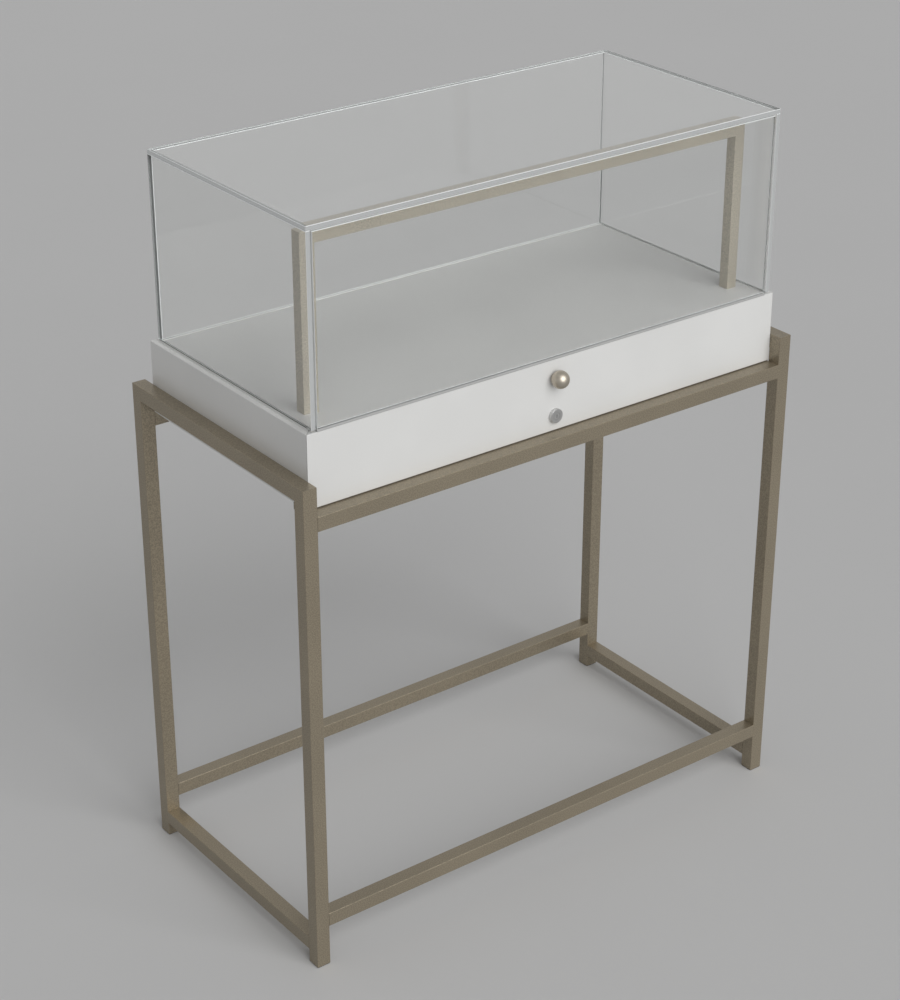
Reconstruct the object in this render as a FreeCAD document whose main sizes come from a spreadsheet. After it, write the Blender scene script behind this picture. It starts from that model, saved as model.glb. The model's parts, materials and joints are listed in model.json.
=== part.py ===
"""Jewelry display case: tube stand, lacquered case, glass hood and pull-out display drawer.

Millimetres, +Z up, front towards -Y. The origin is on the floor under the middle of the stand.
"""
import FreeCAD
import Part
import Sketcher
import os
import re

SIZES = {
    # Stand of square tube: end frames, joined by rails at the front and the rear
    "stand_width": 1000,
    "stand_depth": 500,
    "leg_height": 875,
    "tube_size": 25,
    "tube_wall": 2,
    "tube_corner": 1,
    "rail_drop": 50,
    "low_rail_height": 75,
    "low_side_height": 25,
    "glide_pad": 1.5,
    "glide_depth": 20,
    "glide_inset": 1,
    "glide_fit": 0.1,
    # Case of lacquered board between the end frames
    "case_height": 126,
    "side_board": 18,
    "floor_board": 12,
    "back_board": 18,
    "batten_width": 40,
    "groove_depth": 6,
    "rim_width": 9.5,
    "tongue_height": 3,
    "edge_ease": 1,
    # Bolts that hang the case in the end frames
    "bolt_dia": 6,
    "bolt_clear": 0.3,
    "bolt_head": 10,
    "bolt_head_height": 6,
    "bolt_inset": 60,
    "recess_clear": 0.5,
    "head_cover": 0.5,
    "nut_flats": 10,
    "nut_thick": 5,
    "thread_fit": 0.1,
    # Glass hood
    "glass_thick": 8,
    "glass_arris": 0.8,
    "hood_height": 319,
    # Display drawer: front, deck, sides and back
    "front_board": 18,
    "front_gap": 2,
    "rail_gap": 1.2,
    "leg_gap": 0.8,
    "lip_gap": 1,
    "deck_thick": 18,
    "deck_gap": 2,
    "pane_gap": 2,
    "runner_board": 15,
    "drawer_back": 15,
    "drawer_clear": 10,
    "bumper_size": 8,
    "bumper_gap": 0.3,
    # Inner frame on the deck
    "frame_tube": 20,
    "frame_wall": 1.5,
    "frame_corner": 1,
    "frame_margin": 18.5,
    "frame_setback": 55,
    "frame_drop": 22.5,
    "socket_web": 2,
    "socket_fit": 0.1,
    # Telescopic slides: nested channels of bent strip
    "slide_height": 45,
    "slide_width": 12.7,
    "slide_wall": 1.2,
    "slide_fit": 0.3,
    "slide_bend": 1,
    "slide_flange": 8.3,
    "slide_inset": 2,
    "slide_rear_gap": 10,
    # Knob
    "knob_dia": 30,
    "knob_length": 27.5,
    "knob_neck_dia": 18,
    "knob_neck": 3,
    "knob_drop": 32,
    "knob_bore_spare": 2,
    "knob_screw_dia": 4,
    "knob_screw_clear": 0.25,
    "knob_screw_head": 8,
    "knob_screw_head_height": 3,
    "knob_screw_grip": 12,
    # Cam lock and its strike
    "lock_height": 16,
    "lock_face": 24,
    "lock_rise": 6,
    "lock_bevel": 0.3,
    "barrel_dia": 18,
    "barrel_fit": 0.1,
    "barrel_reach": 14,
    "lock_nut_wall": 2,
    "lock_nut_thick": 4,
    "plug_dia": 12,
    "plug_fit": 0.3,
    "key_slot_length": 6,
    "key_slot_width": 1,
    "key_slot_depth": 4,
    "tail_shoulder": 1,
    "cam_gap": 0.4,
    "cam_thick": 2.5,
    "cam_wall": 1,
    "cam_clear": 1,
    "cam_screw_dia": 4,
    "cam_screw_depth": 8,
    "cam_screw_head": 10,
    "cam_screw_head_height": 2.5,
    "strike_width": 30,
    "strike_thick": 2,
    "strike_gap": 1,
}

# Faces and levels that several pieces share, worked out from the sizes
PLACES = {
    "half_width": "stand_width / 2",
    "half_depth": "stand_depth / 2",
    "bay_x": "half_width - tube_size",
    "bay_y": "half_depth - tube_size",
    "case_base": "leg_height - rail_drop",
    "floor_top": "case_base + floor_board",
    "rim": "case_base + case_height",
    "seat": "rim + tongue_height",
    "hood_under": "seat + hood_height - glass_thick",
    "pane_x": "bay_x - rim_width",
    "pane_inner": "pane_x - glass_thick",
    "pane_rear": "bay_y - rim_width",
    "inner_x": "bay_x - side_board",
    "front_face": "0 - bay_y",
    "front_back": "front_face + front_board",
    "front_top": "rim - lip_gap",
    "case_front": "front_back + front_gap",
    "bolt_level": "leg_height - tube_size / 2",
    "deck_x": "min(inner_x; pane_inner) - deck_gap",
    "deck_rear": "min(bay_y - back_board; pane_rear - glass_thick) - deck_gap",
    "deck_under": "seat - deck_thick",
    "socket_depth": "deck_thick - groove_depth - socket_web",
    "frame_x": "deck_x - frame_margin",
    "frame_front": "front_face + frame_setback",
    "frame_height": "hood_under - frame_drop - seat",
    "runner_x": "inner_x - slide_width",
    "runner_inner": "runner_x - runner_board",
    "runner_base": "floor_top + drawer_clear",
    "runner_top": "deck_under + groove_depth",
    "slide_level": "(floor_top + deck_under) / 2",
    "slide_front": "case_front + slide_inset",
    "slide_length": "bay_y - back_board - slide_rear_gap - slide_front",
    "knob_level": "rim - knob_drop",
    "knob_bore_depth": "knob_screw_grip + knob_bore_spare",
    "lock_level": "floor_top + lock_height",
    "lock_front": "front_face - lock_rise",
    "barrel_length": "lock_rise + front_board + barrel_reach",
    "plug_length": "barrel_length + cam_gap",
    "cam_front": "lock_front + plug_length",
    "cam_reach": "lock_height - cam_clear",
    "tail_size": "(plug_dia - 2 * tail_shoulder) / sqrt(2)",
    "cam_width": "sqrt(2) * (tail_size + 2 * thread_fit) + 2 * cam_wall",
    "strike_rear": "cam_front - strike_gap",
}

WORD = re.compile(r"[a-z]+(?:_[a-z]+)*")
X = FreeCAD.Vector(1, 0, 0)
Y = FreeCAD.Vector(0, 1, 0)
Z = FreeCAD.Vector(0, 0, 1)
UPRIGHT = FreeCAD.Rotation()
ABOUT = FreeCAD.Rotation(Z, 180)
BACKWARD = FreeCAD.Rotation(X, -90)
FORWARD = FreeCAD.Rotation(X, 90)
RIGHTWARD = FreeCAD.Rotation(Y, 90)
LEFTWARD = FreeCAD.Rotation(Y, -90)
LEFT = -1
RIGHT = 1
STAND_TUBE = ("tube_size", "tube_wall", "tube_corner")
FRAME_TUBE = ("frame_tube", "frame_wall", "frame_corner")
NAMES = {LEFT: "left", RIGHT: "right"}
KNOB_BANDS = 16

doc = FreeCAD.newDocument("jewelry_display_case")
sheet = doc.addObject("Spreadsheet::Sheet", "dims")
for row, (alias, size) in enumerate(SIZES.items(), start=1):
    sheet.set(f"A{row}", alias)
    sheet.set(f"B{row}", str(size))
    sheet.setAlias(f"B{row}", alias)
doc.recompute()
nodes = []


def spell(text):
    """Write out a formula so that every name in it is a cell of the sheet."""
    def swap(match):
        word = match.group(0)
        if word in PLACES:
            return "(" + spell(PLACES[word]) + ")"
        return "dims." + word if word in SIZES else word
    return WORD.sub(swap, str(text))


def number(text):
    return float(sheet.evalExpression(spell(text)))


def place(piece, at, turn=UPRIGHT):
    """Turn a piece and tie its position to the sizes."""
    piece.Placement = FreeCAD.Placement(FreeCAD.Vector(), turn)
    for axis, text in zip("xyz", at):
        piece.setExpression("Placement.Base." + axis, spell(text))


def node(piece):
    nodes.append(piece)
    return piece


def new_body(label, at, turn=UPRIGHT):
    body = doc.addObject("PartDesign::Body", label)
    place(body, at, turn)
    return body


def new_sketch(body, plane, lift="0"):
    """A sketch on one of the body's own planes, lifted along the plane's normal."""
    sketch = body.newObject("Sketcher::SketchObject", body.Name + "_sketch")
    support = next(item for item in body.Origin.OriginFeatures if item.Role == plane + "_Plane")
    sketch.AttachmentSupport = (support, [""])
    sketch.MapMode = "FlatFace"
    sketch.setExpression("AttachmentOffset.Base.z", spell(lift))
    return sketch


def tie(sketch, kind, text, *geometry):
    """Add a dimension to a sketch and bind it to the sizes."""
    index = sketch.addConstraint(Sketcher.Constraint(kind, *geometry, number(text)))
    sketch.setExpression(f"Constraints[{index}]", spell(text))


def pin(sketch, geometry, end, u, v):
    tie(sketch, "DistanceX", u, -1, 1, geometry, end)
    tie(sketch, "DistanceY", v, -1, 1, geometry, end)


def outline(sketch, corners):
    """A closed outline of straight sides with every corner tied to the sizes."""
    first = sketch.GeometryCount
    count = len(corners)
    points = [FreeCAD.Vector(number(u), number(v), 0) for u, v in corners]
    for side in range(count):
        sketch.addGeometry(Part.LineSegment(points[side], points[(side + 1) % count]))
    for side in range(count):
        following = first + (side + 1) % count
        sketch.addConstraint(Sketcher.Constraint("Coincident", first + side, 2, following, 1))
    for side, (u, v) in enumerate(corners):
        pin(sketch, first + side, 1, u, v)


def rectangle(sketch, u_low, v_low, u_high, v_high):
    outline(sketch, [(u_low, v_low), (u_high, v_low), (u_high, v_high), (u_low, v_high)])


def circle(sketch, u, v, diameter):
    middle = FreeCAD.Vector(number(u), number(v), 0)
    index = sketch.addGeometry(Part.Circle(middle, Z, number(diameter) / 2))
    pin(sketch, index, 3, u, v)
    tie(sketch, "Diameter", diameter, index)


def pad(body, sketch, length, both_ways=False, reverse=False):
    feature = body.newObject("PartDesign::Pad", body.Name + "_pad")
    feature.Profile = sketch
    feature.SideType = "Symmetric" if both_ways else "One side"
    feature.Reversed = reverse
    feature.setExpression("Length", spell(length))


def pocket(body, sketch, depth=None, both_ways=False, reverse=False):
    """Cut a sketch to a depth, or right through where no depth is given."""
    feature = body.newObject("PartDesign::Pocket", body.Name + "_pocket")
    feature.Profile = sketch
    feature.SideType = "Symmetric" if both_ways else "One side"
    feature.Reversed = reverse
    if depth is None:
        feature.Type = "ThroughAll"
    else:
        feature.setExpression("Length", spell(depth))


def revolve(body, sketch):
    feature = body.newObject("PartDesign::Revolution", body.Name + "_revolution")
    feature.Profile = sketch
    feature.ReferenceAxis = (sketch, ["V_Axis"])
    feature.Angle = 360


def ease(body, size):
    """Take the sharpness off every edge that a body has so far."""
    feature = body.newObject("PartDesign::Chamfer", body.Name + "_chamfer")
    feature.Base = (feature.BaseFeature, [""])
    feature.UseAllEdges = True
    feature.setExpression("Size", spell(size))


def soften(body, radius, wanted):
    """Round those edges of a body that lie where they are wanted."""
    doc.recompute()
    base = body.Tip
    names = [f"Edge{index}" for index, edge in enumerate(base.Shape.Edges, start=1) if wanted(edge)]
    feature = body.newObject("PartDesign::Fillet", body.Name + "_fillet")
    feature.Base = (base, names)
    feature.setExpression("Radius", spell(radius))


def runs_through(edge, axis, *spots):
    """Whether a straight edge runs along an axis, past one of the given spots beside it."""
    if abs(edge.tangentAt(edge.FirstParameter).dot(axis)) < 0.999:
        return False
    middle = edge.CenterOfMass
    beside = middle - axis * middle.dot(axis)
    return any(beside.distanceToPoint(spot) < 0.001 for spot in spots)


def box(label, low, size):
    """A plain board from its low corner and its three sizes."""
    piece = doc.addObject("Part::Box", label)
    for name, text in zip(("Length", "Width", "Height"), size):
        piece.setExpression(name, spell(text))
    place(piece, low)
    return piece


def pane(label, low, size):
    """A glass pane from its low corner and its three sizes, with all its arrises taken off."""
    body = new_body(label, low)
    sketch = new_sketch(body, "XY")
    length, width, height = size
    rectangle(sketch, "0", "0", length, width)
    pad(body, sketch, height)
    ease(body, "glass_arris")
    node(body)


def hex_nut(label, flats, bore, thick, at, turn):
    """A hexagon nut along local Z."""
    body = new_body(label, at, turn)
    sketch = new_sketch(body, "XY")
    corner = f"({flats}) / sqrt(3)"
    half = f"({flats}) / 2"
    outline(sketch, [
        (corner, "0"), (f"{corner} / 2", half), (f"0 - {corner} / 2", half),
        (f"0 - {corner}", "0"), (f"0 - {corner} / 2", f"0 - {half}"), (f"{corner} / 2", f"0 - {half}"),
    ])
    circle(sketch, "0", "0", bore)
    pad(body, sketch, thick)
    return body


def turned(label, profile, at, turn=UPRIGHT):
    """A turned piece: radii along the local Z axis, spun round it."""
    body = new_body(label, at, turn)
    sketch = new_sketch(body, "XZ")
    outline(sketch, profile)
    revolve(body, sketch)
    return body


def group(label, pieces):
    """One node of several equal, separate solids."""
    compound = doc.addObject("Part::Compound", label)
    compound.Links = pieces
    return node(compound)


def tube(label, kind, length, at, turn, mitred_ends=()):
    """A square tube along local Z with rounded edges. A mitred end is longest at the face y = 0."""
    size, wall, corner = kind
    body = new_body(label, at, turn)
    section = new_sketch(body, "XY")
    rectangle(section, "0", "0", size, size)
    rectangle(section, wall, wall, f"{size} - {wall}", f"{size} - {wall}")
    pad(body, section, length)
    far = number(size)
    corners = [FreeCAD.Vector(x, y, 0) for x in (0, far) for y in (0, far)]
    soften(body, corner, lambda edge: runs_through(edge, Z, *corners))
    for end, inward in mitred_ends:
        wedge = new_sketch(body, "YZ")
        outline(wedge, [("0", end), (size, f"{end} + {inward} * {size}"), (size, end)])
        pocket(body, wedge, reverse=True)
    return node(body)


def make_stand():
    """Two end frames with mitred top corners, joined by four long rails."""
    leg_length = "leg_height - glide_pad"
    mitred_top = [(leg_length, -1)]
    for side in (LEFT, RIGHT):
        outer = "0 - half_width" if side == LEFT else "bay_x"
        rear_outer = "0 - bay_x" if side == LEFT else "half_width"
        legs = (
            ("front", (outer, "0 - half_depth", "glide_pad"), UPRIGHT),
            ("rear", (rear_outer, "half_depth", "glide_pad"), ABOUT),
        )
        for where, foot, turn in legs:
            tube(f"leg_{where}_{NAMES[side]}", STAND_TUBE, leg_length, foot, turn, mitred_top)
        rail = tube(
            f"top_side_rail_{NAMES[side]}", STAND_TUBE, "stand_depth",
            (outer, "0 - half_depth", "leg_height"), BACKWARD, [("0", 1), ("stand_depth", -1)],
        )
        drill_side_rail(rail, side)
        tube(
            f"low_side_rail_{NAMES[side]}", STAND_TUBE, "2 * bay_y",
            (outer, "0 - bay_y", "low_side_height + tube_size"), BACKWARD,
        )
    for where, depth in (("front", "0 - half_depth"), ("rear", "bay_y")):
        for name, top in (("top_rail", "case_base"), ("low_rail", "low_rail_height + tube_size")):
            tube(f"{name}_{where}", STAND_TUBE, "2 * bay_x", ("0 - bay_x", depth, top), RIGHTWARD)


def bolt_places():
    """Positions of the case bolts along Y."""
    return ["case_front + bolt_inset", "bay_y - bolt_inset"]


def drill_side_rail(rail, side):
    """Bolt holes through the rail's inner wall only."""
    sketch = new_sketch(rail, "YZ", "tube_size" if side == LEFT else "0")
    for along in bolt_places():
        circle(sketch, "tube_size / 2", f"half_depth + {along}", "bolt_dia + 2 * bolt_clear")
    pocket(rail, sketch, "tube_wall", reverse=side == RIGHT)


def make_foot_glides():
    """A plug in each leg with a pad that keeps the tube off the floor."""
    glides = []
    plug = "tube_size - 2 * tube_wall - 2 * glide_fit"
    for x_side in (LEFT, RIGHT):
        for y_side in (-1, 1):
            x = f"{x_side} * (half_width - tube_size / 2)"
            y = f"{y_side} * (half_depth - tube_size / 2)"
            glide = new_body("foot_glide", (x, y, "0"))
            for width, low, high in (
                ("tube_size - 2 * glide_inset", "0", "glide_pad"),
                (plug, "glide_pad", "glide_depth"),
            ):
                sketch = new_sketch(glide, "XY", low)
                half = f"({width}) / 2"
                rectangle(sketch, f"0 - {half}", f"0 - {half}", half, half)
                pad(glide, sketch, high)
            glides.append(glide)
    group("foot_glides", glides)


def stepped_board(label, thick, height, at, plane, length, inward, both_ways=False):
    """A case board whose top edge is rebated outside, so that a tongue is left for the glass."""
    body = new_body(label, at)
    section = new_sketch(body, plane)
    profile = [
        ("0", "0"), (thick, "0"), (thick, f"{height} + tongue_height"),
        ("rim_width", f"{height} + tongue_height"), ("rim_width", height),
        ("edge_ease", height), ("0", f"{height} - edge_ease"),
    ]
    outline(section, [(f"{inward} * ({u})", v) for u, v in profile])
    pad(body, section, length, both_ways=both_ways, reverse=plane == "XZ")
    return body


def make_case():
    """Side boards, back and floor. The floor lies in rebates along the side boards."""
    for side in (LEFT, RIGHT):
        depth = "bay_y - front_face"
        corner = (f"{side} * bay_x", "front_face", "case_base")
        board = stepped_board(
            f"case_side_{NAMES[side]}", "side_board", "case_height", corner, "XZ", depth, -side,
        )
        rebate = new_sketch(board, "XZ")
        rectangle(
            rebate, f"{-side} * (side_board - groove_depth)", "0", f"{-side} * side_board", "floor_board",
        )
        pocket(board, rebate, both_ways=True)
        tongue_end = new_sketch(board, "YZ")
        rectangle(
            tongue_end, f"{depth} - rim_width", "case_height", depth, "case_height + tongue_height",
        )
        pocket(board, tongue_end, both_ways=True)
        mitre_case_side(board, side)
        drill_case_side(board, side)
        node(board)
    node(stepped_board(
        "case_back", "back_board", "case_height - floor_board",
        ("0", "bay_y", "floor_top"), "YZ", "2 * inner_x", -1, both_ways=True,
    ))
    node(box(
        "case_floor", ("0 - inner_x - groove_depth", "case_front", "case_base"),
        ("2 * (inner_x + groove_depth)", "bay_y - case_front", "floor_board"),
    ))
    node(box(
        "floor_batten", ("0 - bay_x", "front_face", "case_base - floor_board"),
        ("2 * bay_x", "batten_width", "floor_board"),
    ))


def mitre_case_side(board, side):
    """Front end at 45 degrees, so that the closed front meets the side along the case's corner."""
    cut = new_sketch(board, "XY")
    inner = f"{-side} * side_board"
    outline(cut, [("0", "0"), (inner, "side_board"), (inner, "0")])
    pocket(board, cut, both_ways=True)


def drill_case_side(board, side):
    """Bolt holes, recessed on the inside so that the heads lie below the surface."""
    level = "bolt_level - case_base"
    shank = new_sketch(board, "YZ")
    recess = new_sketch(board, "YZ", f"{-side} * side_board")
    for along in bolt_places():
        circle(shank, f"{along} - front_face", level, "bolt_dia + 2 * bolt_clear")
        circle(recess, f"{along} - front_face", level, "bolt_head + 2 * recess_clear")
    pocket(board, shank, both_ways=True)
    pocket(board, recess, "bolt_head_height + head_cover", reverse=side == RIGHT)


def make_case_bolts():
    """Bolts from inside the case into hexagon nuts welded in the side rails."""
    bolts = []
    nuts = []
    reach = "side_board - head_cover + tube_wall + nut_thick"
    bolt_profile = [
        ("0", "0"), ("bolt_head / 2", "0"), ("bolt_head / 2", "bolt_head_height"),
        ("bolt_dia / 2", "bolt_head_height"), ("bolt_dia / 2", reach), ("0", reach),
    ]
    nut_bore = "bolt_dia + 2 * thread_fit"
    for side, turn in ((LEFT, LEFTWARD), (RIGHT, RIGHTWARD)):
        for along in bolt_places():
            head = (f"{side} * (inner_x + head_cover)", along, "bolt_level")
            bolts.append(turned("case_bolt", bolt_profile, head, turn))
            wall = (f"{side} * (bay_x + tube_wall)", along, "bolt_level")
            nuts.append(hex_nut("rail_nut", "nut_flats", nut_bore, "nut_thick", wall, turn))
    group("case_bolts", bolts)
    group("rail_nuts", nuts)


def make_hood():
    """Top pane over the side and back panes, bonded edge to edge. The front is left open."""
    depth = "pane_rear - front_face"
    height = "hood_under - seat"
    pane(
        "hood_glass_top", ("0 - pane_x", "front_face", "hood_under"),
        ("2 * pane_x", depth, "glass_thick"),
    )
    for side, low_x in ((LEFT, "0 - pane_x"), (RIGHT, "pane_inner")):
        pane(f"hood_glass_{NAMES[side]}", (low_x, "front_face", "seat"), ("glass_thick", depth, height))
    pane(
        "hood_glass_back", ("0 - pane_inner", "pane_rear - glass_thick", "seat"),
        ("2 * pane_inner", "glass_thick", height),
    )


def make_drawer_front():
    """Front board with mitred ends, grooves for the drawer sides and holes for knob and lock.

    The blank is cut over-long, so that the mitres take its eased ends off and leave sharp corners.
    """
    base = "case_base + rail_gap"
    body = new_body("drawer_front", ("0", "front_face", base))
    face = new_sketch(body, "XZ")
    half = "(bay_x - leg_gap)"
    blank = f"({half} + 2 * edge_ease)"
    rectangle(face, f"0 - {blank}", "0", blank, f"front_top - ({base})")
    pad(body, face, "front_board", reverse=True)
    ease(body, "edge_ease")
    mitres = new_sketch(body, "XY")
    for side in (LEFT, RIGHT):
        outline(mitres, [
            (f"{side} * {half}", "0"), (f"{side} * ({blank} + edge_ease)", "0"),
            (f"{side} * ({blank} + edge_ease)", "front_board"),
            (f"{side} * ({half} - front_board)", "front_board"),
        ])
    pocket(body, mitres, both_ways=True)
    grooves = new_sketch(body, "XZ", "0 - front_board")
    low = f"runner_base - ({base})"
    high = f"runner_top - ({base})"
    rectangle(grooves, "0 - runner_x", low, "0 - runner_inner", high)
    rectangle(grooves, "runner_inner", low, "runner_x", high)
    pocket(body, grooves, "groove_depth", reverse=True)
    holes = new_sketch(body, "XZ")
    circle(holes, "0", f"knob_level - ({base})", "knob_screw_dia + 2 * knob_screw_clear")
    circle(holes, "0", f"lock_level - ({base})", "barrel_dia + 2 * barrel_fit")
    pocket(body, holes, both_ways=True)
    node(body)


def make_display_deck():
    """Deck with a thin lip over the front board, grooves below and sockets for the posts."""
    body = new_body("display_deck", ("0", "front_face", "deck_under"))
    section = new_sketch(body, "YZ")
    depth = "deck_rear - front_face"
    lip = "front_top - deck_under"
    outline(section, [
        ("0", lip), ("front_board", lip), ("front_board", "0"), (depth, "0"),
        (depth, "deck_thick"), ("edge_ease", "deck_thick"), ("0", "deck_thick - edge_ease"),
    ])
    pad(body, section, "2 * deck_x", both_ways=True)
    grooves = new_sketch(body, "XY")
    rectangle(grooves, "0 - runner_x", "front_board", "0 - runner_inner", depth)
    rectangle(grooves, "runner_inner", "front_board", "runner_x", depth)
    pocket(body, grooves, "groove_depth", reverse=True)
    sockets = new_sketch(body, "XY", "deck_thick")
    near = "frame_setback - socket_fit"
    far = "frame_setback + frame_tube + socket_fit"
    outer = "frame_x + socket_fit"
    inner = "frame_x - frame_tube - socket_fit"
    rectangle(sockets, f"0 - ({outer})", near, f"0 - ({inner})", far)
    rectangle(sockets, inner, near, outer, far)
    pocket(body, sockets, "socket_depth")
    node(body)


def make_drawer_box():
    """Sides that carry the deck and ride on the slides, with a back between them."""
    front = "front_back - groove_depth"
    for side, low_x in ((LEFT, "0 - runner_x"), (RIGHT, "runner_inner")):
        node(box(
            f"drawer_side_{NAMES[side]}", (low_x, front, "runner_base"),
            ("runner_board", f"deck_rear - ({front})", "runner_top - runner_base"),
        ))
    node(box(
        "drawer_back", ("0 - runner_inner", "deck_rear - drawer_back", "runner_base"),
        ("2 * runner_inner", "drawer_back", "deck_under - runner_base"),
    ))
    pane(
        "front_glass", ("0 - deck_x", "front_face", "seat"),
        ("2 * deck_x", "glass_thick", "hood_under - pane_gap - seat"),
    )


def make_inner_frame():
    """Two posts let into the deck and a bar across them, mitred at the corners."""
    length = "frame_height + socket_depth"
    base = "seat - socket_depth"
    back = "frame_front + frame_tube"
    mitre = [(length, -1)]
    tube(
        "frame_post_left", FRAME_TUBE, length,
        ("0 - frame_x", back, base), FreeCAD.Rotation(Z, -90), mitre,
    )
    tube(
        "frame_post_right", FRAME_TUBE, length,
        ("frame_x", "frame_front", base), FreeCAD.Rotation(Z, 90), mitre,
    )
    tube(
        "frame_bar", FRAME_TUBE, "2 * frame_x",
        ("0 - frame_x", back, "seat + frame_height"), FreeCAD.Rotation(-Y, -Z, X, "ZXY"),
        [("0", 1), ("2 * frame_x", -1)],
    )


def channel(label, side, base_face, wall, tip, half_height):
    """A slide member: bent strip along Y. Its three faces are measured from the case side inwards."""
    body = new_body(label, (f"{side} * inner_x", "slide_front", "slide_level"))
    low = f"0 - ({half_height})"
    inside = f"({half_height} - slide_wall)"
    profile = [
        (base_face, low), (tip, low), (tip, f"0 - {inside}"), (wall, f"0 - {inside}"),
        (wall, inside), (tip, inside), (tip, half_height), (base_face, half_height),
    ]
    section = new_sketch(body, "XZ")
    outline(section, [(f"{-side} * ({u})", v) for u, v in profile])
    pad(body, section, "slide_length", reverse=True)
    for face, height, bend in (
        (base_face, half_height, "slide_bend + slide_wall"),
        (wall, inside, "slide_bend"),
    ):
        x = -side * number(face)
        z = number(height)
        bends = [FreeCAD.Vector(x, 0, level) for level in (-z, z)]
        soften(body, bend, lambda edge: runs_through(edge, Y, *bends))
    node(body)


def make_slides():
    """Three nested channels on each side: on the case, between, and on the drawer."""
    step = "(slide_wall + slide_fit)"
    outer_half = "(slide_height / 2)"
    middle_half = f"({outer_half} - {step})"
    inner_half = f"({middle_half} - {step})"
    for side in (LEFT, RIGHT):
        name = NAMES[side]
        channel(f"slide_outer_{name}", side, "0", "slide_wall", "slide_flange", outer_half)
        channel(
            f"slide_middle_{name}", side, step, f"{step} + slide_wall", f"{step} + slide_flange", middle_half,
        )
        channel(
            f"slide_inner_{name}", side, "slide_width", "slide_width - slide_wall", f"2 * {step}", inner_half,
        )


def make_bumpers():
    """Soft pads on the front edge of the case floor, where the closed front comes to rest."""
    bumpers = []
    thick = "front_gap - bumper_gap"
    for side in (LEFT, RIGHT):
        corner = (
            f"{side} * (inner_x - 2 * bumper_size) - bumper_size / 2",
            f"case_front - ({thick})", "floor_top - (floor_board + bumper_size) / 2",
        )
        bumpers.append(box("closing_bumper", corner, ("bumper_size", thick, "bumper_size")))
    group("closing_bumpers", bumpers)


def make_knob():
    """A ball on a short neck, turned in narrow bands and bored for its screw."""
    bore = "knob_screw_dia / 2 + thread_fit"
    radius = "(knob_dia / 2)"
    middle = f"(knob_length - {radius})"
    sunk = f"asin(({middle} - knob_neck) / {radius})"
    profile = [(bore, "0"), ("knob_neck_dia / 2", "0"), ("knob_neck_dia / 2", "knob_neck")]
    for band in range(KNOB_BANDS):
        share = band / KNOB_BANDS
        rise = f"({share} * 90 deg - {1 - share} * {sunk})"
        profile.append((f"{radius} * cos({rise})", f"{middle} + {radius} * sin({rise})"))
    profile += [("0", "knob_length"), ("0", "knob_bore_depth"), (bore, "knob_bore_depth")]
    node(turned("knob", profile, ("0", "front_face", "knob_level"), FORWARD))


def make_knob_screw():
    """A screw through the front board into the knob."""
    reach = "knob_screw_head_height + front_board + knob_screw_grip"
    node(turned("knob_screw", [
        ("0", "0"), ("knob_screw_head / 2", "0"), ("knob_screw_head / 2", "knob_screw_head_height"),
        ("knob_screw_dia / 2", "knob_screw_head_height"), ("knob_screw_dia / 2", reach), ("0", reach),
    ], ("0", "front_back + knob_screw_head_height", "knob_level"), FORWARD))


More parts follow.
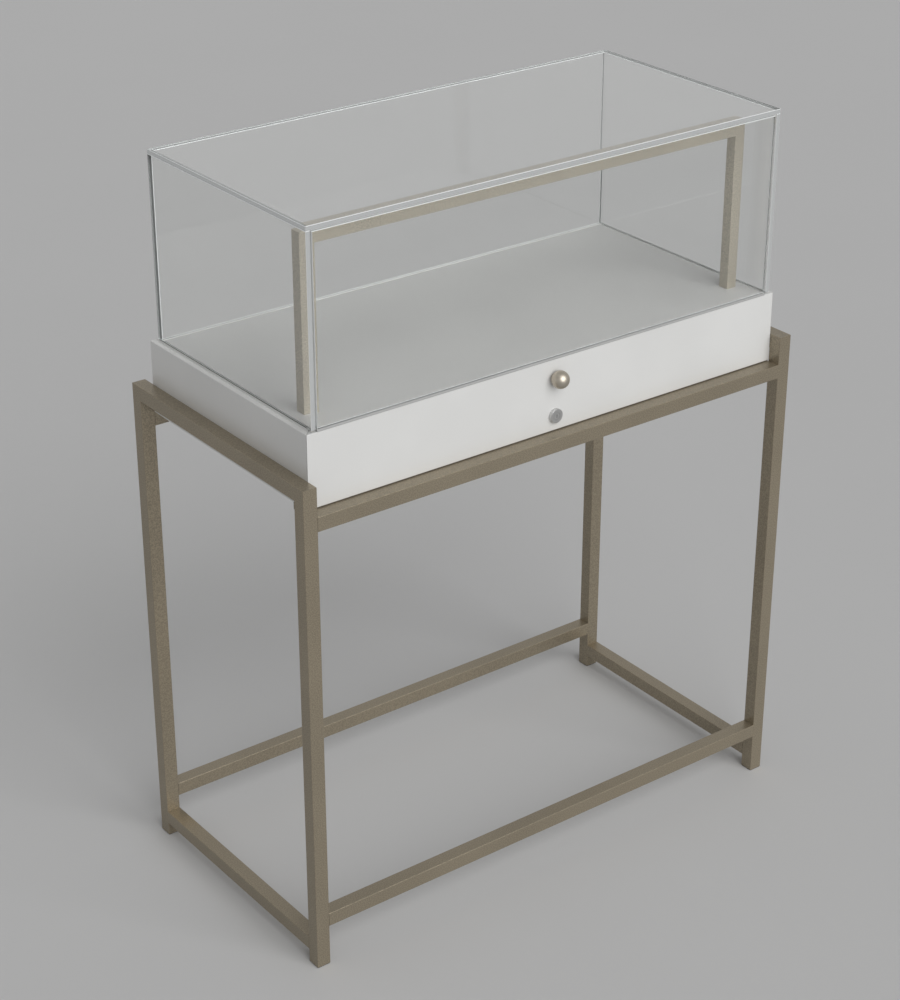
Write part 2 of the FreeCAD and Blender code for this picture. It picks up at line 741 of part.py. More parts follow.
def make_lock():
    """Lock body and ring nut in the front, a turning plug with its cam, and the strike behind it."""
    front = ("0", "lock_front", "lock_level")
    bore = "plug_dia / 2 + plug_fit"
    node(turned("lock_body", [
        (bore, "0"), ("lock_face / 2 - lock_bevel", "0"), ("lock_face / 2", "lock_bevel"),
        ("lock_face / 2", "lock_rise"),
        ("barrel_dia / 2", "lock_rise"), ("barrel_dia / 2", "barrel_length"), (bore, "barrel_length"),
    ], front, BACKWARD))
    nut_bore = "barrel_dia + 2 * barrel_fit"
    node(hex_nut(
        "lock_nut", f"{nut_bore} + 2 * lock_nut_wall", nut_bore, "lock_nut_thick",
        ("0", "front_back", "lock_level"), BACKWARD,
    ))

    plug = turned("lock_plug", [
        ("0", "0"), ("plug_dia / 2", "0"), ("plug_dia / 2", "plug_length"), ("0", "plug_length"),
    ], front, BACKWARD)
    tail = new_sketch(plug, "XY", "plug_length")
    rectangle(tail, "0 - tail_size / 2", "0 - tail_size / 2", "tail_size / 2", "tail_size / 2")
    pad(plug, tail, "cam_thick")
    slot = new_sketch(plug, "XY")
    rectangle(
        slot, "0 - key_slot_width / 2", "0 - key_slot_length / 2",
        "key_slot_width / 2", "key_slot_length / 2",
    )
    pocket(plug, slot, "key_slot_depth", reverse=True)
    thread = new_sketch(plug, "XY", "plug_length + cam_thick")
    circle(thread, "0", "0", "cam_screw_dia + 2 * thread_fit")
    pocket(plug, thread, "cam_screw_depth + thread_fit")
    node(plug)

    cam = new_body("lock_cam", ("0", "cam_front", "lock_level"), BACKWARD)
    plate = new_sketch(cam, "XY")
    half = number("cam_width / 2")
    reach = number("cam_reach")
    shoulder = number("sqrt(cam_reach ^ 2 - (cam_width / 2) ^ 2)")
    low = FreeCAD.Vector(0, -half, 0)
    high = FreeCAD.Vector(0, half, 0)
    far_low = FreeCAD.Vector(shoulder, -half, 0)
    far_high = FreeCAD.Vector(shoulder, half, 0)
    lower = plate.addGeometry(Part.LineSegment(low, far_low))
    tip = plate.addGeometry(Part.Arc(far_low, FreeCAD.Vector(reach, 0, 0), far_high))
    upper = plate.addGeometry(Part.LineSegment(far_high, high))
    hub = plate.addGeometry(Part.Arc(high, FreeCAD.Vector(-half, 0, 0), low))
    for first, second in ((lower, tip), (tip, upper), (upper, hub), (hub, lower)):
        plate.addConstraint(Sketcher.Constraint("Coincident", first, 2, second, 1))
    for edge in (lower, upper):
        plate.addConstraint(Sketcher.Constraint("Horizontal", edge))
    pin(plate, lower, 1, "0", "0 - cam_width / 2")
    pin(plate, hub, 1, "0", "cam_width / 2")
    pin(plate, tip, 3, "0", "0")
    tie(plate, "Radius", "cam_reach", tip)
    tie(plate, "DistanceX", "0", -1, 1, hub, 3)
    hole = "tail_size / 2 + thread_fit"
    rectangle(plate, f"0 - ({hole})", f"0 - ({hole})", hole, hole)
    pad(cam, plate, "cam_thick")
    node(cam)
    depth = "cam_screw_head_height + cam_screw_depth"
    node(turned("cam_screw", [
        ("0", "0"), ("cam_screw_head / 2", "0"), ("cam_screw_head / 2", "cam_screw_head_height"),
        ("cam_screw_dia / 2", "cam_screw_head_height"), ("cam_screw_dia / 2", depth), ("0", depth),
    ], ("0", "cam_front + cam_thick + cam_screw_head_height", "lock_level"), FORWARD))

    strike = new_body("lock_strike", ("0", "strike_rear", "floor_top"))
    section = new_sketch(strike, "YZ")
    top = "lock_height - barrel_dia / 2 - strike_gap"
    toe = "case_front - strike_rear"
    outline(section, [
        ("0", "0"), ("0", top), ("0 - strike_thick", top), ("0 - strike_thick", "strike_thick"),
        (toe, "strike_thick"), (toe, "0"),
    ])
    pad(strike, section, "strike_width", both_ways=True)
    node(strike)


def check(pieces):
    """Stop on any failed feature or unsound solid, before anything is written."""
    for item in doc.Objects:
        if {"Invalid", "Error"} & set(item.State):
            raise RuntimeError(f"{item.Label} did not build: {item.State}")
    for piece in pieces:
        if piece.Shape.isNull() or not piece.Shape.isValid() or not piece.Shape.Solids:
            raise RuntimeError(f"{piece.Label} has no sound solid")


make_stand()
make_foot_glides()
make_case()
make_case_bolts()
make_hood()
make_drawer_front()
make_display_deck()
make_drawer_box()
make_inner_frame()
make_slides()
make_bumpers()
make_knob()
make_knob_screw()
make_lock()
doc.recompute()
check(nodes)

os.makedirs("parts", exist_ok=True)
for piece in nodes:
    piece.Shape.exportStep(f"parts/{piece.Label}.step")
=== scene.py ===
"""Finishes, knob, screws and stage for a glass-topped jewelry display case on a tube stand."""

import json
import math

import bmesh
import bpy
from bpy.props import FloatProperty, FloatVectorProperty, PointerProperty
from mathutils import Matrix, Vector


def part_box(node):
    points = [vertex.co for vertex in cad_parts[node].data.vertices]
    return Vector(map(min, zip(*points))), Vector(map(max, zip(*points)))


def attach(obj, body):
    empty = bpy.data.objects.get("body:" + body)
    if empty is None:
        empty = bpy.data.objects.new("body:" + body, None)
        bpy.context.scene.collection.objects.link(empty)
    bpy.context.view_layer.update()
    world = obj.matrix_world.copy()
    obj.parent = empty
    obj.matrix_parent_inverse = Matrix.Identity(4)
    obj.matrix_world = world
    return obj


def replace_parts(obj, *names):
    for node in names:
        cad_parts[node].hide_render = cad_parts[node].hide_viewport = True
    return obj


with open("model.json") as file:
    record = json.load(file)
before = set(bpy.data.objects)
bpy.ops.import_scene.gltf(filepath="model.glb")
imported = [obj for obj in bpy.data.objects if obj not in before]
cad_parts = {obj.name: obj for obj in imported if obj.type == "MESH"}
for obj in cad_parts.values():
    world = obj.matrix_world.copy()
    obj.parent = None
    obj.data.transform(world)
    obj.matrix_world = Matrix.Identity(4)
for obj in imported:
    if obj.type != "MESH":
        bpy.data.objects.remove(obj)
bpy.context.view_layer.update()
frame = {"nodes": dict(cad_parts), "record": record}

# Points closer than this, in metres, are one point.
EVEN = 1e-6

# A mesh is sorted along this slanting line, so that each run gives the same order of points.
SORT_ALONG = Vector((1.0, 0.377, 0.619))

WIDTH_AXIS = (1.0, 0.0, 0.0)
DEPTH_AXIS = (0.0, 1.0, 0.0)
HEIGHT_AXIS = (0.0, 0.0, 1.0)
FORWARD = (0.0, -1.0, 0.0)

# Steps along the ball of the knob, from its neck to its front, and sides around it.
KNOB_STEPS = 32
KNOB_SIDES = 64

# A socket screw: sides of its round parts and of its socket, then the socket's radius and the
# eased rim as shares of the head's radius, the socket's depth as a share of the head's height,
# and the tip's length and radius as shares of the shank's radius.
SCREW_SIDES = 32
SOCKET_SIDES = 6
SOCKET_RADIUS = 0.55
RIM_EASE = 0.12
SOCKET_DEPTH = 0.6
TIP_LENGTH = 0.3
TIP_RADIUS = 0.7

# How far the grinding marks lighten the edge of a pane.
GRINDING_TONE = 0.2

WHITE = (1.0, 1.0, 1.0)

# Sockets of a Mix node that mixes colours: its share, both colours and its result.
MIX_SHARE, MIX_FIRST, MIX_SECOND, MIX_RESULT = 0, 6, 7, 2

bl_info = {
    "name": "Jewelry display case",
    "version": (1, 0, 0),
    "blender": (4, 5, 0),
    "location": "View3D > Sidebar > Display case",
    "description": "Finishes, knob, screws and stage for a jewelry display case",
    "category": "Object",
}


def colour_setting(name, description, default):
    """A colour that a user picks, in linear red, green and blue."""
    return FloatVectorProperty(
        name=name, description=description, default=default,
        subtype="COLOR", size=3, min=0.0, max=1.0,
    )


def length_setting(name, description, default):
    """A length in metres."""
    return FloatProperty(
        name=name, description=description, default=default,
        subtype="DISTANCE", unit="LENGTH", min=0.0, precision=4,
    )


def share_setting(name, description, default):
    """A share from none to all."""
    return FloatProperty(
        name=name, description=description, default=default,
        subtype="FACTOR", min=0.0, max=1.0,
    )


def angle_setting(name, description, degrees):
    """An angle, written in degrees and kept in radians."""
    return FloatProperty(
        name=name, description=description, default=math.radians(degrees),
        subtype="ANGLE", unit="ROTATION",
    )


class MetalSettings(bpy.types.PropertyGroup):
    """Champagne metal of the stand and the inner frame, and the plastic of the foot glides."""

    stand: colour_setting("Stand", "Champagne finish of the square tubes", (0.318, 0.272, 0.200))
    inner_frame: colour_setting(
        "Inner frame", "Paler champagne of the inner frame", (0.470, 0.430, 0.355))
    metallic: share_setting("Metallic", "How much of the finish reflects as metal", 0.6)
    roughness: share_setting("Roughness", "How far the finish spreads a highlight", 0.33)
    glide: colour_setting("Glides", "Plastic of the foot glides", (0.035, 0.034, 0.032))


class BoardSettings(bpy.types.PropertyGroup):
    """Lacquered and coated boards of the case and drawer; the batten is dark as painted shade."""

    lacquer: colour_setting(
        "Lacquer", "White satin lacquer of the case and the front", (0.745, 0.745, 0.732))
    # Painted shade: the deck is set darker than the white lacquer, for the shade on the up-facing
    # deck under the glass.
    deck: colour_setting("Deck", "Coated top of the display deck", (0.430, 0.430, 0.425))
    drawer: colour_setting(
        "Drawer", "Coated boards of the drawer sides and back", (0.74, 0.73, 0.70))
    # Painted shade: the batten is dark so that the gap under the front, where it shows, reads as a
    # shadow line.
    batten: colour_setting(
        "Batten", "Dark paint of the batten under the case floor", (0.20, 0.165, 0.12))
    roughness: share_setting("Lacquer roughness", "How far the lacquer spreads a highlight", 0.34)


class GlassSettings(bpy.types.PropertyGroup):
    """Clear glass of the hood and the front pane."""

    tint: colour_setting("Tint", "What the glass lets through", (0.985, 0.99, 0.985))
    edge: colour_setting("Edge", "Ground and polished edges of the panes", (0.78, 0.80, 0.80))
    polish: share_setting("Edge polish", "How far a free edge mirrors what is around it", 0.7)
    index: FloatProperty(
        name="Index", description="Refractive index", default=1.5, min=1.0, max=2.0)
    smear: share_setting("Smear", "Roughness of the faint wiping marks", 0.02)


class FittingSettings(bpy.types.PropertyGroup):
    """Knob, lock, slides, screws and bumpers."""

    knob: colour_setting("Knob", "Polished champagne nickel of the knob", (0.535, 0.485, 0.41))
    knob_roughness: share_setting("Knob roughness", "How far the knob spreads a highlight", 0.38)
    knob_neck: length_setting("Knob neck", "Diameter of the neck behind the ball", 0.018)
    knob_seat: length_setting("Knob seat", "Length of the neck behind the ball", 0.003)
    lock: colour_setting("Lock", "Satin nickel of the lock", (0.60, 0.60, 0.595))
    slide: colour_setting("Slides", "Zinc of the drawer slides", (0.58, 0.59, 0.60))
    screw: colour_setting("Screws", "Plating of the screws, nuts and strike", (0.52, 0.52, 0.51))
    bumper: colour_setting(
        "Bumpers", "Clear soft rubber of the closing bumpers", (0.62, 0.61, 0.58))
    bolt_shank: length_setting("Bolt shank", "Diameter of the case bolts", 0.006)
    bolt_sunk: length_setting(
        "Bolt sunk", "How far the bolts' heads lie in the side boards", 0.0005)
    bolt_head: length_setting("Bolt head", "Height of the case bolts' heads", 0.006)
    screw_shank: length_setting("Screw shank", "Diameter of the knob and cam screws", 0.004)
    knob_screw_head: length_setting("Knob screw head", "Height of the knob screw's head", 0.003)
    cam_screw_head: length_setting("Cam screw head", "Height of the cam screw's head", 0.0025)


class StageSettings(bpy.types.PropertyGroup):
    """Floor, light and camera."""

    floor: colour_setting("Floor", "Pale floor", (0.66, 0.66, 0.66))
    backdrop: colour_setting("Backdrop", "What stands beyond the floor", (0.53, 0.53, 0.53))
    floor_reach: length_setting("Floor reach", "Half the side of the floor", 20.0)
    sky: FloatProperty(name="Sky", description="Strength of the even light", default=0.28, min=0.0)
    key: FloatProperty(name="Key", description="Strength of the main lamp", default=1.98, min=0.0)
    key_spread: angle_setting("Key spread", "Angle that the main lamp fills", 60)
    key_from: FloatVectorProperty(
        name="Key from", description="Direction that the main lamp shines from",
        default=(0.0, -0.86, 0.5), subtype="DIRECTION", size=3,
    )
    eye: FloatVectorProperty(
        name="Eye", description="Place of the camera", default=(-2.1482, -2.7969, 2.3818),
        subtype="TRANSLATION", unit="LENGTH", size=3,
    )
    azimuth: angle_setting("Azimuth", "Turn of the camera about the case", -37.005)
    elevation: angle_setting("Elevation", "How far the camera looks down", 26.671)
    lens: FloatProperty(
        name="Lens", description="Focal length in millimetres", default=82.67, min=1.0)


class DisplayCaseSettings(bpy.types.PropertyGroup):
    """All settings of the display case."""

    metal: PointerProperty(type=MetalSettings)
    board: PointerProperty(type=BoardSettings)
    glass: PointerProperty(type=GlassSettings)
    fitting: PointerProperty(type=FittingSettings)
    stage: PointerProperty(type=StageSettings)


class Wire:
    """A socket of a finish. Sums, differences and products of wires add Math nodes."""

    def __init__(self, tree, socket=None):
        self.tree = tree
        self.socket = socket

    def node(self, kind, settings=(), sockets=(), output=0):
        """Add a node: its settings first, then the values or links of its sockets."""
        made = self.tree.nodes.new(kind)
        for name, value in dict(settings).items():
            setattr(made, name, value)
        for name, value in dict(sockets).items():
            if isinstance(value, Wire):
                self.tree.links.new(value.socket, made.inputs[name])
            else:
                made.inputs[name].default_value = value
        return Wire(self.tree, made.outputs[output] if made.outputs else None)

    def math(self, operation, *values):
        """Add a Math node on these values."""
        return self.node("ShaderNodeMath", {"operation": operation}, dict(enumerate(values)))

    def __add__(self, other):
        return self.math("ADD", self, other)

    def __radd__(self, other):
        return self.math("ADD", other, self)

    def __sub__(self, other):
        return self.math("SUBTRACT", self, other)

    def __rsub__(self, other):
        return self.math("SUBTRACT", other, self)

    def __mul__(self, other):
        return self.math("MULTIPLY", self, other)

    def __rmul__(self, other):
        return self.math("MULTIPLY", other, self)

    def blend(self, other, share):
        """This and another value, with the other's share of the whole."""
        return (1 - share) * self + share * other

    def about(self, middle, spread):
        """A value that goes from spread under the middle to spread over it."""
        return middle - spread + 2 * spread * self

    def noise(self, scale, detail):
        """Soft grain on these coordinates, with about scale grains to the metre."""
        return self.node(
            "ShaderNodeTexNoise", sockets={"Vector": self, "Scale": scale, "Detail": detail})

    def stretched(self, x, y, z):
        """These coordinates with each axis scaled: grain runs where the scale is smallest."""
        return self.node("ShaderNodeMapping", sockets={"Vector": self, "Scale": (x, y, z)})

    def along(self, axis):
        """How far this direction runs along an axis, either way."""
        run = self.node(
            "ShaderNodeVectorMath", {"operation": "DOT_PRODUCT"}, {0: self, 1: axis}, "Value")
        return self.math("ABSOLUTE", run)

    def between(self, low, high):
        """0 below low, 1 above high and a soft step from one to the other."""
        return self.node(
            "ShaderNodeMapRange", {"interpolation_type": "SMOOTHSTEP"},
            {"Value": self, "From Min": low, "From Max": high},
        )

    def shade(self, colour, start, end):
        """A colour times a share, which goes from start to end as this goes from 0 to 1."""
        return self.node(
            "ShaderNodeMix", {"data_type": "RGBA"},
            {MIX_SHARE: self, MIX_FIRST: level(colour, start), MIX_SECOND: level(colour, end)},
            MIX_RESULT,
        )

    def bump(self, strength, distance):
        """The normal of a surface that this height roughens."""
        return self.node(
            "ShaderNodeBump", sockets={"Strength": strength, "Distance": distance, "Height": self})

    def ray(self, kind):
        """1 for rays of a kind and 0 for the others."""
        return self.node("ShaderNodeLightPath", output=kind)

    def principled(self, sockets):
        """A plain surface from these sockets."""
        return self.node("ShaderNodeBsdfPrincipled", sockets=sockets)

    def choose(self, first, second):
        """A shader that goes from the first to the second as this goes from 0 to 1."""
        return self.node("ShaderNodeMixShader", sockets={0: self, 1: first, 2: second})

    def out(self):
        """Make this shader the material's surface."""
        self.node("ShaderNodeOutputMaterial", sockets={"Surface": self})


def level(colour, share=1.0):
    """A colour times a share, as a socket takes it."""
    return (*(min(part * share, 1.0) for part in colour), 1.0)


def new_finish(name):
    """An empty material and the coordinates that its pattern lies on."""
    material = bpy.data.materials.new(name)
    material.use_nodes = True
    material.node_tree.nodes.clear()
    place = Wire(material.node_tree).node("ShaderNodeTexCoord", output="Object")
    return material, place


def champagne_metal(name, colour, metallic, roughness):
    """Satin metallic finish with a fine glittering grain and a slow drift of tone."""
    material, place = new_finish(name)
    flake = place.noise(scale=500.0, detail=2.0).between(low=0.36, high=0.64)
    drift = place.noise(scale=7.0, detail=3.0).between(low=0.3, high=0.7)
    tone = flake.blend(drift, share=0.15)
    place.principled({
        "Base Color": tone.shade(colour, start=0.74, end=1.26),
        "Metallic": flake.about(metallic, spread=0.25),
        "Roughness": flake.about(roughness, spread=0.05),
        "Normal": place.noise(scale=900.0, detail=2.0).bump(strength=0.1, distance=0.0003),
    }).out()
    return material


def moulded_plastic(name, colour, roughness):
    """Plastic with the fine texture of its mould."""
    material, place = new_finish(name)
    texture = place.noise(scale=1200.0, detail=3.0)
    place.principled({
        "Base Color": texture.shade(colour, start=0.85, end=1.15),
        "Roughness": texture.about(roughness, spread=0.05),
        "Normal": texture.bump(strength=0.25, distance=0.0002),
    }).out()
    return material


def sprayed_lacquer(name, colour, roughness):
    """Sprayed lacquer with a faint orange peel and a slow drift of tone."""
    material, place = new_finish(name)
    peel = place.noise(scale=260.0, detail=2.0)
    drift = place.noise(scale=5.0, detail=3.0).between(low=0.3, high=0.7)
    place.principled({
        "Base Color": drift.shade(colour, start=0.97, end=1.02),
        "Roughness": peel.about(roughness, spread=0.04),
        "Coat Weight": 0.2,
        "Coat Roughness": 0.2,
        "Normal": peel.bump(strength=0.1, distance=0.0002),
    }).out()
    return material


def coated_board(name, colour, roughness):
    """Resin-coated board with the fine pearl texture of its press plate."""
    material, place = new_finish(name)
    pearl = place.noise(scale=700.0, detail=2.0)
    drift = place.noise(scale=6.0, detail=2.0).between(low=0.3, high=0.7)
    place.principled({
        "Base Color": drift.blend(pearl, share=0.4).shade(colour, start=0.95, end=1.03),
        "Roughness": pearl.about(roughness, spread=0.05),
        "Normal": pearl.bump(strength=0.15, distance=0.0002),
    }).out()
    return material


def clear_glass(name, across, polish, chosen):
    """Clear float glass with faint wiping marks, ground edges and a painted highlight on the
    arrises.

    The pane is thin along the axis across, so a face that looks another way is an edge.
    A free edge has polish and mirrors what is around it. A bonded edge has none, and neither
    has an edge that looks up or down, where a pane stands on a board or carries the top.
    Lamps shine through the faces.
    """
    material, place = new_finish(name)
    marks = place.stretched(x=3.0, y=3.0, z=9.0).noise(scale=2.0, detail=4.0)
    wiped = marks.between(low=0.45, high=0.75)
    glass = place.principled({
        "Base Color": wiped.shade(chosen.tint, start=1.0, end=0.99),
        "Transmission Weight": 1.0,
        "IOR": chosen.index,
        "Roughness": chosen.smear * wiped,
    })
    opening = place.node(
        "ShaderNodeBsdfTransparent", sockets={"Color": level(chosen.tint, share=0.96)})
    pane = place.ray("Is Shadow Ray").choose(glass, opening)

    outward = place.node("ShaderNodeTexCoord", output="Normal")
    facing = outward.along(across)
    # Painted highlight: the arrises, between an edge and a face, get a lighter colour so they show
    # as bright lines.
    arris_highlight = facing.between(low=0.4, high=0.7)
    grinding = place.noise(scale=500.0, detail=2.0)
    tone = arris_highlight + GRINDING_TONE * grinding
    edge = place.principled({
        "Base Color": tone.shade(chosen.edge, start=0.95, end=1.2),
        "Metallic": polish * (1.0 - outward.along(HEIGHT_AXIS)) if polish else 0.0,
        "Roughness": grinding.about(middle=0.225, spread=0.075),
    })
    facing.between(low=0.75, high=0.95).choose(edge, pane).out()
    return material


def polished_metal(name, colour, roughness):
    """Polished plating with fine wiping scratches and a soft haze."""
    material, place = new_finish(name)
    scratch = place.stretched(x=1.0, y=1.0, z=9.0).noise(scale=900.0, detail=2.0)
    haze = place.noise(scale=90.0, detail=3.0)
    place.principled({
        "Base Color": haze.shade(colour, start=0.92, end=1.06),
        "Metallic": 1.0,
        "Roughness": haze.about(roughness, spread=0.04),
        "Normal": scratch.bump(strength=0.03, distance=0.0001),
    }).out()
    return material


def satin_metal(name, colour, roughness):
    """Satin plating with a fine blasted grain."""
    material, place = new_finish(name)
    grain = place.noise(scale=2200.0, detail=2.0)
    cloud = place.noise(scale=60.0, detail=3.0)
    place.principled({
        "Base Color": grain.blend(cloud, share=0.5).shade(colour, start=0.85, end=1.15),
        "Metallic": 1.0,
        "Roughness": grain.about(roughness, spread=0.06),
        "Normal": grain.bump(strength=0.15, distance=0.0002),
    }).out()
    return material


def rolled_zinc(name, colour, roughness):
    """Zinc-plated strip with rolling marks along its length and a soft cloud of plating."""
    material, place = new_finish(name)
    rolling = place.stretched(x=1.0, y=0.03, z=1.0).noise(scale=1600.0, detail=3.0)
    cloud = place.noise(scale=45.0, detail=4.0)
    place.principled({
        "Base Color": rolling.blend(cloud, share=0.6).shade(colour, start=0.8, end=1.15),
        "Metallic": 1.0,
        "Roughness": cloud.about(roughness, spread=0.08),
        "Normal": rolling.bump(strength=0.1, distance=0.0002),
    }).out()
    return material


def soft_rubber(name, colour, roughness):
    """Soft clear rubber with a dull skin."""
    material, place = new_finish(name)
    skin = place.noise(scale=900.0, detail=3.0)
    place.principled({
        "Base Color": skin.shade(colour, start=0.9, end=1.08),
        "Roughness": skin.about(roughness, spread=0.075),
        "Normal": skin.bump(strength=0.2, distance=0.0002),
    }).out()
    return material


def matte_floor(name, colour):
    """Matte floor with hardly a drift of tone."""
    material, place = new_finish(name)
    drift = place.noise(scale=1.5, detail=3.0)
    place.principled({
        "Base Color": drift.shade(colour, start=0.985, end=1.015),
        "Roughness": 0.85,
        "Normal": place.noise(scale=300.0, detail=2.0).bump(strength=0.05, distance=0.0003),
    }).out()
    return material


def coat(names, material):
    """Give a finish to each of the named solids."""
    for name in names:
        frame["nodes"][name].data.materials[0] = material


def dress(slot, material):
    """Give a finish to each solid of a material slot."""
    names = [part["node"] for part in frame["record"]["subparts"] if part["material_slot"] == slot]
    if not names:
        raise RuntimeError(f"no solid takes the slot {slot}")
    coat(names, material)


def new_object(name, mesh, material):
    """Make an object of a bmesh, with one finish, and put it in the scene."""
    data = bpy.data.meshes.new(name)
    mesh.to_mesh(data)
    mesh.free()
    data.materials.append(material)
    made = bpy.data.objects.new(name, data)
    bpy.context.scene.collection.objects.link(made)
    return made


def keep(name, mesh, body, material):
    """Make a piece of a bmesh, which rides on a body and takes the finish it is given."""
    bmesh.ops.remove_doubles(mesh, verts=mesh.verts, dist=EVEN)
    bmesh.ops.recalc_face_normals(mesh, faces=mesh.faces)
    mesh.verts.sort(key=lambda vert: vert.co.dot(SORT_ALONG))
    mesh.edges.sort(key=lambda edge: sum(vert.co.dot(SORT_ALONG) for vert in edge.verts))
    mesh.faces.sort(key=lambda face: face.calc_center_median().dot(SORT_ALONG))
    piece = new_object(name, mesh, material)
    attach(piece, body)
    return piece


def stack_rings(mesh, rings):
    """A closed shape through rings of (corners, radius, height), one after another."""
    loops = []
    for corners, radius, height in rings:
        made = bmesh.ops.create_circle(
            mesh, segments=corners, radius=radius, matrix=Matrix.Translation((0.0, 0.0, height)),
        )
        # A dict keeps the edges in the order of the corners, so that each run is the same.
        edges = dict.fromkeys(edge for vert in made["verts"] for edge in vert.link_edges)
        loops.append((height, list(edges)))
    for (height, lower), (next_height, upper) in zip(loops, loops[1:]):
        # Two rings on one level bound a flat face, and two on different levels a wall.
        if height == next_height:
            bmesh.ops.triangle_fill(mesh, use_beauty=True, edges=lower + upper)
        else:
            bmesh.ops.bridge_loops(mesh, edges=lower + upper)
    for _, end in (loops[0], loops[-1]):
        bmesh.ops.edgeloop_fill(mesh, edges=end)


def socket_screw(mesh, top, along, head_radius, head_height, shank_radius, length):
    """A screw with a hexagon socket, from the middle of its head along its shank."""
    ease = RIM_EASE * head_radius
    socket = SOCKET_RADIUS * head_radius
    earlier = set(mesh.verts)
    stack_rings(mesh, [
        (SOCKET_SIDES, socket, SOCKET_DEPTH * head_height),
        (SOCKET_SIDES, socket, 0.0),
        (SCREW_SIDES, head_radius - ease, 0.0),
        (SCREW_SIDES, head_radius, ease),
        (SCREW_SIDES, head_radius, head_height),
        (SCREW_SIDES, shank_radius, head_height),
        (SCREW_SIDES, shank_radius, length - TIP_LENGTH * shank_radius),
        (SCREW_SIDES, TIP_RADIUS * shank_radius, length),
    ])
    turn = Vector(HEIGHT_AXIS).rotation_difference(Vector(along)).to_matrix().to_4x4()
    bmesh.ops.transform(
        mesh, matrix=Matrix.Translation(top) @ turn,
        verts=[vert for vert in mesh.verts if vert not in earlier],
    )


class FinishStand(bpy.types.Operator):
    """Give the tubes of the stand their champagne finish and the glides their plastic"""

    bl_idname = "display_case.finish_stand"
    bl_label = "Finish the stand"

    def execute(self, context):
        chosen = context.scene.display_case.metal
        dress("stand_metal", champagne_metal(
            "champagne_stand", chosen.stand, chosen.metallic, chosen.roughness))
        dress("glide_plastic", moulded_plastic("glide_plastic", chosen.glide, roughness=0.5))
        return {"FINISHED"}


class FinishInnerFrame(bpy.types.Operator):
    """Give the inner frame on the deck its paler champagne finish"""

    bl_idname = "display_case.finish_inner_frame"
    bl_label = "Finish the inner frame"

    def execute(self, context):
        chosen = context.scene.display_case.metal
        dress("frame_metal", champagne_metal(
            "champagne_frame", chosen.inner_frame, chosen.metallic, chosen.roughness))
        return {"FINISHED"}


class FinishBoards(bpy.types.Operator):
    """Lacquer the case and the front, and coat the deck, the drawer boards and the batten, dark as
    painted shade
    """

    bl_idname = "display_case.finish_boards"
    bl_label = "Finish the boards"

    def execute(self, context):
        chosen = context.scene.display_case.board
        dress("white_lacquer", sprayed_lacquer("white_lacquer", chosen.lacquer, chosen.roughness))
        # Painted shade: the deck's darker colour stands for the shade on its up-facing top under
        # the glass.
        dress("deck_board", coated_board("deck_board", chosen.deck, roughness=0.45))
        dress("drawer_board", coated_board("drawer_board", chosen.drawer, roughness=0.5))
        # Painted shade: the batten's dark coat stands for the shadow in the gap under the front.
        dress("batten_paint", coated_board("batten_paint", chosen.batten, roughness=0.6))
        return {"FINISHED"}


class FinishGlass(bpy.types.Operator):
    """Give the hood and the front pane their clear glass"""

    bl_idname = "display_case.finish_glass"
    bl_label = "Finish the glass"

    def execute(self, context):
        chosen = context.scene.display_case.glass
        for name, panes, across, polish in (
            ("glass_of_sides", ("hood_glass_left", "hood_glass_right"), WIDTH_AXIS, chosen.polish),
            ("glass_of_front", ("front_glass",), DEPTH_AXIS, chosen.polish),
            ("glass_of_back", ("hood_glass_back",), DEPTH_AXIS, 0.0),
            ("glass_of_top", ("hood_glass_top",), HEIGHT_AXIS, chosen.polish),
        ):
            coat(panes, clear_glass(name, across, polish, chosen))
        return {"FINISHED"}


class FinishFittings(bpy.types.Operator):
    """Give the lock, the slides and the small hardware their plating and rubber"""

    bl_idname = "display_case.finish_fittings"
    bl_label = "Finish the fittings"

    def execute(self, context):
        chosen = context.scene.display_case.fitting
        dress("lock_metal", satin_metal("lock_nickel", chosen.lock, roughness=0.36))
        dress("slide_steel", rolled_zinc("slide_zinc", chosen.slide, roughness=0.36))
        dress("plated_steel", satin_metal("screw_plating", chosen.screw, roughness=0.35))
        dress("bumper_rubber", soft_rubber("bumper_rubber", chosen.bumper, roughness=0.575))
        return {"FINISHED"}


class BuildKnob(bpy.types.Operator):
    """Turn the ball knob on its neck and polish it"""

    bl_idname = "display_case.build_knob"
    bl_label = "Build the knob"

    def execute(self, context):
        chosen = context.scene.display_case.fitting
        low, high = (Vector(corner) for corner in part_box("knob"))
        radius = (high.x - low.x) / 2
        neck = chosen.knob_neck / 2
        seat = high.y - chosen.knob_seat
        middle = low.y + radius
        start = math.asin((seat - middle) / radius)
        profile = [(0.0, high.y), (neck, high.y), (neck, seat)]
        for step in range(KNOB_STEPS + 1):
            turn = start + (-math.pi / 2 - start) * step / KNOB_STEPS
            profile.append((radius * math.cos(turn), middle + radius * math.sin(turn)))
        mesh = bmesh.new()
        axis = Vector(((low.x + high.x) / 2, 0.0, (low.z + high.z) / 2))
        points = [mesh.verts.new(axis + Vector((out, along, 0.0))) for out, along in profile]
        edges = [mesh.edges.new(pair) for pair in zip(points, points[1:])]
        bmesh.ops.spin(
            mesh, geom=points + edges, cent=axis, axis=DEPTH_AXIS, dvec=(0.0, 0.0, 0.0),
            angle=2 * math.pi, steps=KNOB_SIDES, use_merge=True, use_normal_flip=False,
            use_duplicate=False,
        )
        polish = polished_metal("knob_nickel", chosen.knob, chosen.knob_roughness)
        knob = keep("turned_knob", mesh, "drawer", polish)
        for face in knob.data.polygons:
            face.use_smooth = face.center.y < seat - EVEN
        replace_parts(knob, "knob")
        return {"FINISHED"}


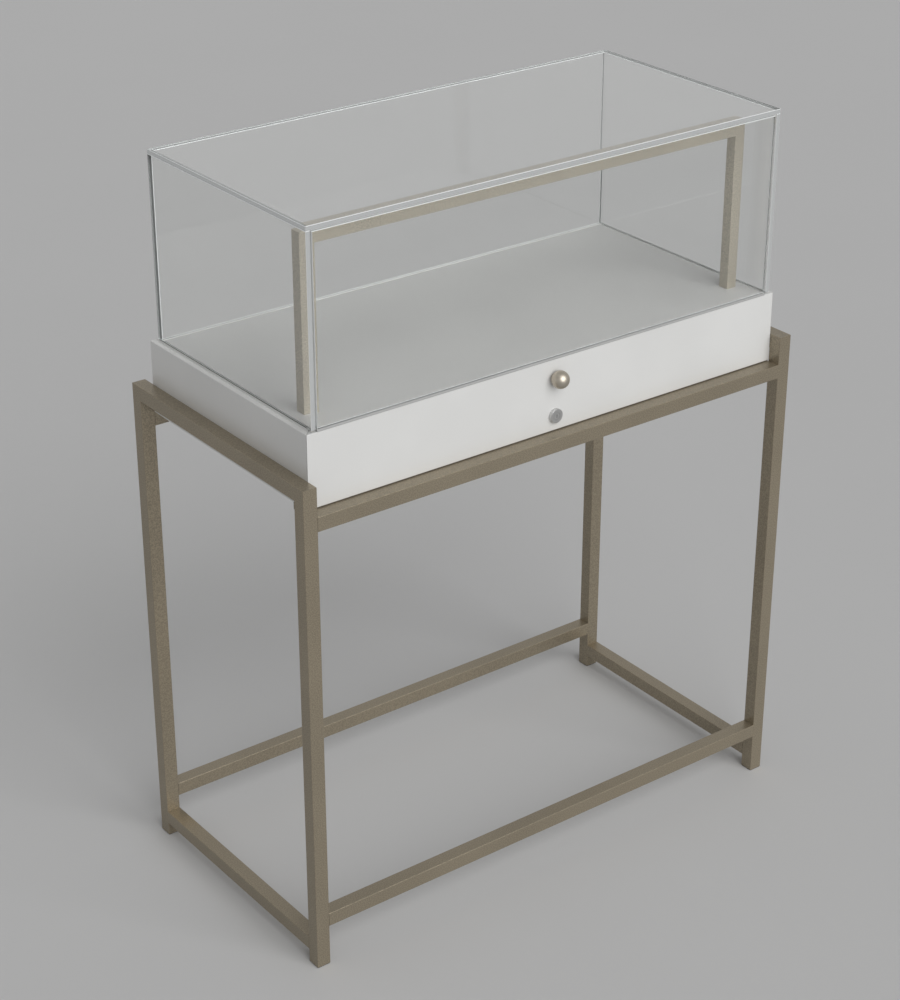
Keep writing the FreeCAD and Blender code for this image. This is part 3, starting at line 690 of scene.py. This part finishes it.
class BuildScrews(bpy.types.Operator):
    """Build the case bolts, the knob screw and the cam screw with their sockets"""

    bl_idname = "display_case.build_screws"
    bl_label = "Build the screws"

    def execute(self, context):
        chosen = context.scene.display_case.fitting
        plating = bpy.data.materials["screw_plating"]

        low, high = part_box("case_bolts")
        radius = (high[2] - low[2]) / 2
        inner_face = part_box("case_side_right")[0][0] + chosen.bolt_sunk
        bolts = bmesh.new()
        for way in (-1.0, 1.0):
            for place in (low[1] + radius, high[1] - radius):
                socket_screw(
                    bolts, top=(way * inner_face, place, low[2] + radius), along=(way, 0.0, 0.0),
                    head_radius=radius, head_height=chosen.bolt_head,
                    shank_radius=chosen.bolt_shank / 2, length=high[0] - inner_face,
                )
        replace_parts(keep("case_bolt_set", bolts, "stand", plating), "case_bolts")

        for node, body, head in (
            ("knob_screw", "drawer", chosen.knob_screw_head),
            ("cam_screw", "lock_core", chosen.cam_screw_head),
        ):
            low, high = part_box(node)
            radius = (high[2] - low[2]) / 2
            screw = bmesh.new()
            socket_screw(
                screw, top=(low[0] + radius, high[1], low[2] + radius), along=FORWARD,
                head_radius=radius, head_height=head,
                shank_radius=chosen.screw_shank / 2, length=high[1] - low[1],
            )
            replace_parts(keep(f"{node}_socketed", screw, body, plating), node)
        return {"FINISHED"}


class BuildStage(bpy.types.Operator):
    """Lay the floor and set the light and the camera"""

    bl_idname = "display_case.build_stage"
    bl_label = "Build the stage"

    def execute(self, context):
        scene = context.scene
        chosen = scene.display_case.stage
        self.lay_floor(chosen)
        self.light(scene, chosen)
        self.aim_camera(scene, chosen)
        scene.view_settings.view_transform = "Standard"
        return {"FINISHED"}

    def lay_floor(self, chosen):
        """A square floor under the case."""
        mesh = bmesh.new()
        bmesh.ops.create_grid(mesh, x_segments=2, y_segments=2, size=chosen.floor_reach)
        floor = new_object("floor", mesh, matte_floor("pale_floor", chosen.floor))

    def light(self, scene, chosen):
        """Even light with a backdrop that the camera, metal and glass see, and one soft lamp."""
        world = bpy.data.worlds.new("soft_studio")
        world.use_nodes = True
        world.node_tree.nodes.clear()
        start = Wire(world.node_tree)
        seen = start.ray("Is Camera Ray")
        for kind in ("Is Glossy Ray", "Is Transmission Ray"):
            seen = seen + start.ray(kind)
        even = start.node(
            "ShaderNodeBackground", sockets={"Color": level(WHITE), "Strength": chosen.sky})
        shown = start.node("ShaderNodeBackground", sockets={"Color": level(chosen.backdrop)})
        start.node("ShaderNodeOutputWorld", sockets={"Surface": seen.choose(even, shown)})
        scene.world = world

        key = bpy.data.lights.new("key", "SUN")
        key.energy = chosen.key
        key.angle = chosen.key_spread
        lamp = bpy.data.objects.new("key", key)
        lamp.rotation_euler = Vector(chosen.key_from).to_track_quat("Z", "Y").to_euler()
        scene.collection.objects.link(lamp)

    def aim_camera(self, scene, chosen):
        """The camera at its place, turned to the case."""
        lens = bpy.data.cameras.new("camera")
        lens.lens = chosen.lens
        camera = bpy.data.objects.new("camera", lens)
        camera.location = chosen.eye
        camera.rotation_euler = (math.pi / 2 - chosen.elevation, 0.0, chosen.azimuth)
        scene.collection.objects.link(camera)
        scene.camera = camera


PIECES = (
    FinishStand, FinishInnerFrame, FinishBoards, FinishGlass, FinishFittings, BuildKnob,
    BuildScrews, BuildStage,
)


class DisplayCasePanel(bpy.types.Panel):
    """Lists the steps and the settings of the display case"""

    bl_idname = "VIEW3D_PT_display_case"
    bl_label = "Display case"
    bl_space_type = "VIEW_3D"
    bl_region_type = "UI"
    bl_category = "Display case"

    def draw(self, context):
        chosen = context.scene.display_case
        for piece in PIECES:
            self.layout.operator(piece.bl_idname)
        for group in (chosen.metal, chosen.board, chosen.glass, chosen.fitting, chosen.stage):
            box = self.layout.box()
            for setting in group.__annotations__:
                box.prop(group, setting)


CLASSES = (
    MetalSettings, BoardSettings, GlassSettings, FittingSettings, StageSettings,
    DisplayCaseSettings, *PIECES, DisplayCasePanel,
)


def register():
    """Register the classes and give each scene its settings."""
    for each in CLASSES:
        bpy.utils.register_class(each)
    bpy.types.Scene.display_case = PointerProperty(type=DisplayCaseSettings)


def unregister():
    """Take the settings and the classes away again."""
    del bpy.types.Scene.display_case
    for each in reversed(CLASSES):
        bpy.utils.unregister_class(each)


def main():
    """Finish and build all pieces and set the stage."""
    register()
    bpy.ops.display_case.finish_stand()
    bpy.ops.display_case.finish_inner_frame()
    bpy.ops.display_case.finish_boards()
    bpy.ops.display_case.finish_glass()
    bpy.ops.display_case.finish_fittings()
    bpy.ops.display_case.build_knob()
    bpy.ops.display_case.build_screws()
    bpy.ops.display_case.build_stage()


if __name__ == "__main__":
    main()
